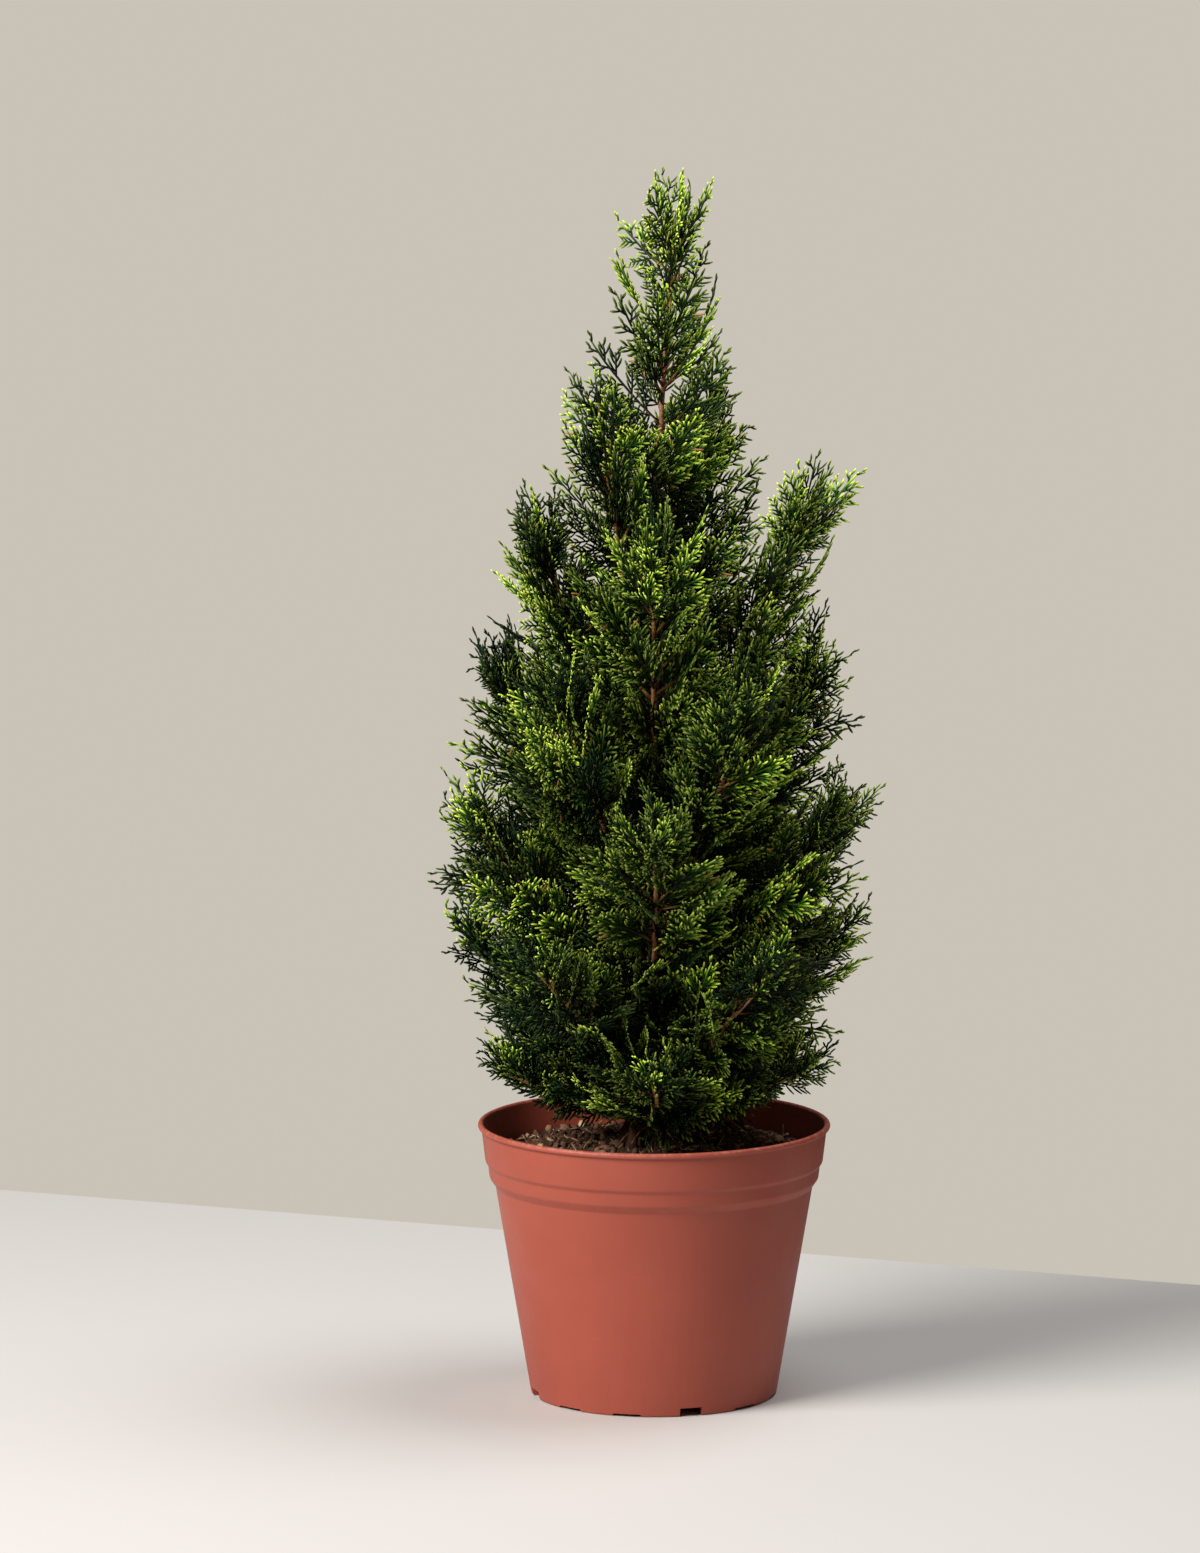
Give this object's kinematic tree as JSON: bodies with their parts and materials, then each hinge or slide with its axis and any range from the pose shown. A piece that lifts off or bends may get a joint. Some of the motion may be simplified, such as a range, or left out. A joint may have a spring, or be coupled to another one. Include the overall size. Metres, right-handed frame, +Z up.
{
  "type": "artificial tabletop tree",
  "caption": "Tabletop conifer of wired branches on a cored trunk, weighted and standing in a plastic nursery pot.",
  "frame": {"origin": "middle of the pot's underside, on the surface that it stands on", "axes": "+Z up along the trunk, -Y the front, +X to the right seen from the front"},
  "size_m": [0.2494, 0.2554, 0.6998],
  "materials": {
    "terracotta_plastic": "semi-matte moulded plastic, terracotta colour",
    "cement": "rough cast cement",
    "grey_foam": "dry open foam, cut",
    "soil": "loose peat, bark crumbs and fibres",
    "steel_core": "drawn steel rod",
    "bark": "stringy brown bark, moulded",
    "twig": "reddish-brown twig moulding on wire",
    "foliage": "flat scale-leaf sprays, dark green inside and yellow-green at the tips"
  },
  "bodies": {
    "pot": {"nursery_pot": "terracotta_plastic"},
    "planting": {"ballast_weight": "cement", "foam_block": "grey_foam", "soil_topping": "soil", "trunk_core": "steel_core", "trunk_sleeve": "bark"},
    "leader": {"leader_stem": "twig", "leader_foliage": "foliage"},
    "tier1_branch1": {"tier1_branch1_stem": "twig", "tier1_branch1_foliage": "foliage"},
    "tier1_branch2": {"tier1_branch2_stem": "twig", "tier1_branch2_foliage": "foliage"},
    "tier1_branch3": {"tier1_branch3_stem": "twig", "tier1_branch3_foliage": "foliage"},
    "tier1_branch4": {"tier1_branch4_stem": "twig", "tier1_branch4_foliage": "foliage"},
    "tier1_branch5": {"tier1_branch5_stem": "twig", "tier1_branch5_foliage": "foliage"},
    "tier2_branch1": {"tier2_branch1_stem": "twig", "tier2_branch1_foliage": "foliage"},
    "tier2_branch2": {"tier2_branch2_stem": "twig", "tier2_branch2_foliage": "foliage"},
    "tier2_branch3": {"tier2_branch3_stem": "twig", "tier2_branch3_foliage": "foliage"},
    "tier2_branch4": {"tier2_branch4_stem": "twig", "tier2_branch4_foliage": "foliage"},
    "tier2_branch5": {"tier2_branch5_stem": "twig", "tier2_branch5_foliage": "foliage"},
    "tier3_branch1": {"tier3_branch1_stem": "twig", "tier3_branch1_foliage": "foliage"},
    "tier3_branch2": {"tier3_branch2_stem": "twig", "tier3_branch2_foliage": "foliage"},
    "tier3_branch3": {"tier3_branch3_stem": "twig", "tier3_branch3_foliage": "foliage"},
    "tier3_branch4": {"tier3_branch4_stem": "twig", "tier3_branch4_foliage": "foliage"},
    "tier3_branch5": {"tier3_branch5_stem": "twig", "tier3_branch5_foliage": "foliage"},
    "tier4_branch1": {"tier4_branch1_stem": "twig", "tier4_branch1_foliage": "foliage"},
    "tier4_branch2": {"tier4_branch2_stem": "twig", "tier4_branch2_foliage": "foliage"},
    "tier4_branch3": {"tier4_branch3_stem": "twig", "tier4_branch3_foliage": "foliage"},
    "tier4_branch4": {"tier4_branch4_stem": "twig", "tier4_branch4_foliage": "foliage"},
    "tier4_branch5": {"tier4_branch5_stem": "twig", "tier4_branch5_foliage": "foliage"},
    "tier5_branch1": {"tier5_branch1_stem": "twig", "tier5_branch1_foliage": "foliage"},
    "tier5_branch2": {"tier5_branch2_stem": "twig", "tier5_branch2_foliage": "foliage"},
    "tier5_branch3": {"tier5_branch3_stem": "twig", "tier5_branch3_foliage": "foliage"},
    "tier5_branch4": {"tier5_branch4_stem": "twig", "tier5_branch4_foliage": "foliage"},
    "tier6_branch1": {"tier6_branch1_stem": "twig", "tier6_branch1_foliage": "foliage"},
    "tier6_branch2": {"tier6_branch2_stem": "twig", "tier6_branch2_foliage": "foliage"}
  },
  "joints": [
    {"name": "lift_out", "type": "slide", "parent": "pot", "child": "planting", "axis": [0, 0, 1], "range_m": [0, 0.18]},
    {"name": "leader_bend", "type": "hinge", "parent": "planting", "child": "leader", "pos_m": [0, 0, 0.5043], "axis": [0, 1, 0], "range_deg": [-8, 10]},
    {"name": "tier1_branch1_bend", "type": "hinge", "parent": "planting", "child": "tier1_branch1", "pos_m": [0, -0.01568, 0.16099], "axis": [1, 0, 0], "range_deg": [-10, 12]},
    {"name": "tier1_branch2_bend", "type": "hinge", "parent": "planting", "child": "tier1_branch2", "pos_m": [0.01491, -0.00485, 0.16099], "axis": [0.309, 0.9511, 0], "range_deg": [-10, 12]},
    {"name": "tier1_branch3_bend", "type": "hinge", "parent": "planting", "child": "tier1_branch3", "pos_m": [0.00922, 0.01268, 0.16099], "axis": [-0.809, 0.5878, 0], "range_deg": [-10, 12]},
    {"name": "tier1_branch4_bend", "type": "hinge", "parent": "planting", "child": "tier1_branch4", "pos_m": [-0.00922, 0.01268, 0.16099], "axis": [-0.809, -0.5878, 0], "range_deg": [-10, 12]},
    {"name": "tier1_branch5_bend", "type": "hinge", "parent": "planting", "child": "tier1_branch5", "pos_m": [-0.01491, -0.00485, 0.16099], "axis": [0.309, -0.9511, 0], "range_deg": [-10, 12]},
    {"name": "tier2_branch1_bend", "type": "hinge", "parent": "planting", "child": "tier2_branch1", "pos_m": [0.00904, -0.01245, 0.1818], "axis": [0.809, 0.5878, 0], "range_deg": [-8, 16]},
    {"name": "tier2_branch2_bend", "type": "hinge", "parent": "planting", "child": "tier2_branch2", "pos_m": [0.01464, 0.00475, 0.1818], "axis": [-0.309, 0.9511, 0], "range_deg": [-8, 16]},
    {"name": "tier2_branch3_bend", "type": "hinge", "parent": "planting", "child": "tier2_branch3", "pos_m": [0, 0.01539, 0.1818], "axis": [-1, 0, 0], "range_deg": [-8, 16]},
    {"name": "tier2_branch4_bend", "type": "hinge", "parent": "planting", "child": "tier2_branch4", "pos_m": [-0.01464, 0.00475, 0.1818], "axis": [-0.309, -0.9511, 0], "range_deg": [-8, 16]},
    {"name": "tier2_branch5_bend", "type": "hinge", "parent": "planting", "child": "tier2_branch5", "pos_m": [-0.00904, -0.01245, 0.1818], "axis": [0.809, -0.5878, 0], "range_deg": [-8, 16]},
    {"name": "tier3_branch1_bend", "type": "hinge", "parent": "planting", "child": "tier3_branch1", "pos_m": [0, -0.01485, 0.22012], "axis": [1, 0, 0], "range_deg": [-7, 16]},
    {"name": "tier3_branch2_bend", "type": "hinge", "parent": "planting", "child": "tier3_branch2", "pos_m": [0.01413, -0.00459, 0.22012], "axis": [0.309, 0.9511, 0], "range_deg": [-7, 16]},
    {"name": "tier3_branch3_bend", "type": "hinge", "parent": "planting", "child": "tier3_branch3", "pos_m": [0.00873, 0.01202, 0.22012], "axis": [-0.809, 0.5878, 0], "range_deg": [-7, 16]},
    {"name": "tier3_branch4_bend", "type": "hinge", "parent": "planting", "child": "tier3_branch4", "pos_m": [-0.00873, 0.01202, 0.22012], "axis": [-0.809, -0.5878, 0], "range_deg": [-7, 16]},
    {"name": "tier3_branch5_bend", "type": "hinge", "parent": "planting", "child": "tier3_branch5", "pos_m": [-0.01413, -0.00459, 0.22012], "axis": [0.309, -0.9511, 0], "range_deg": [-7, 16]},
    {"name": "tier4_branch1_bend", "type": "hinge", "parent": "planting", "child": "tier4_branch1", "pos_m": [0.0083, -0.01143, 0.27196], "axis": [0.809, 0.5878, 0], "range_deg": [-4, 15]},
    {"name": "tier4_branch2_bend", "type": "hinge", "parent": "planting", "child": "tier4_branch2", "pos_m": [0.01344, 0.00437, 0.27196], "axis": [-0.309, 0.9511, 0], "range_deg": [-4, 15]},
    {"name": "tier4_branch3_bend", "type": "hinge", "parent": "planting", "child": "tier4_branch3", "pos_m": [0, 0.01413, 0.27196], "axis": [-1, 0, 0], "range_deg": [-4, 15]},
    {"name": "tier4_branch4_bend", "type": "hinge", "parent": "planting", "child": "tier4_branch4", "pos_m": [-0.01344, 0.00437, 0.27196], "axis": [-0.309, -0.9511, 0], "range_deg": [-4, 15]},
    {"name": "tier4_branch5_bend", "type": "hinge", "parent": "planting", "child": "tier4_branch5", "pos_m": [-0.0083, -0.01143, 0.27196], "axis": [0.809, -0.5878, 0], "range_deg": [-4, 15]},
    {"name": "tier5_branch1_bend", "type": "hinge", "parent": "planting", "child": "tier5_branch1", "pos_m": [0, -0.01326, 0.334], "axis": [1, 0, 0], "range_deg": [-2, 14]},
    {"name": "tier5_branch2_bend", "type": "hinge", "parent": "planting", "child": "tier5_branch2", "pos_m": [0, 0.01326, 0.334], "axis": [-1, 0, 0], "range_deg": [-4, 9]},
    {"name": "tier5_branch3_bend", "type": "hinge", "parent": "planting", "child": "tier5_branch3", "pos_m": [-0.01326, 0, 0.334], "axis": [0, -1, 0], "range_deg": [-2, 11]},
    {"name": "tier5_branch4_bend", "type": "hinge", "parent": "planting", "child": "tier5_branch4", "pos_m": [0.01261, -0.0041, 0.334], "axis": [0.309, 0.9511, 0], "range_deg": [-3, 14]},
    {"name": "tier6_branch1_bend", "type": "hinge", "parent": "planting", "child": "tier6_branch1", "pos_m": [0.00937, 0.00786, 0.4081], "axis": [-0.6428, 0.766, 0], "range_deg": [-4, 10]},
    {"name": "tier6_branch2_bend", "type": "hinge", "parent": "planting", "child": "tier6_branch2", "pos_m": [-0.00864, -0.00864, 0.4081], "axis": [0.7071, -0.7071, 0], "range_deg": [-5, 10]}
  ]
}
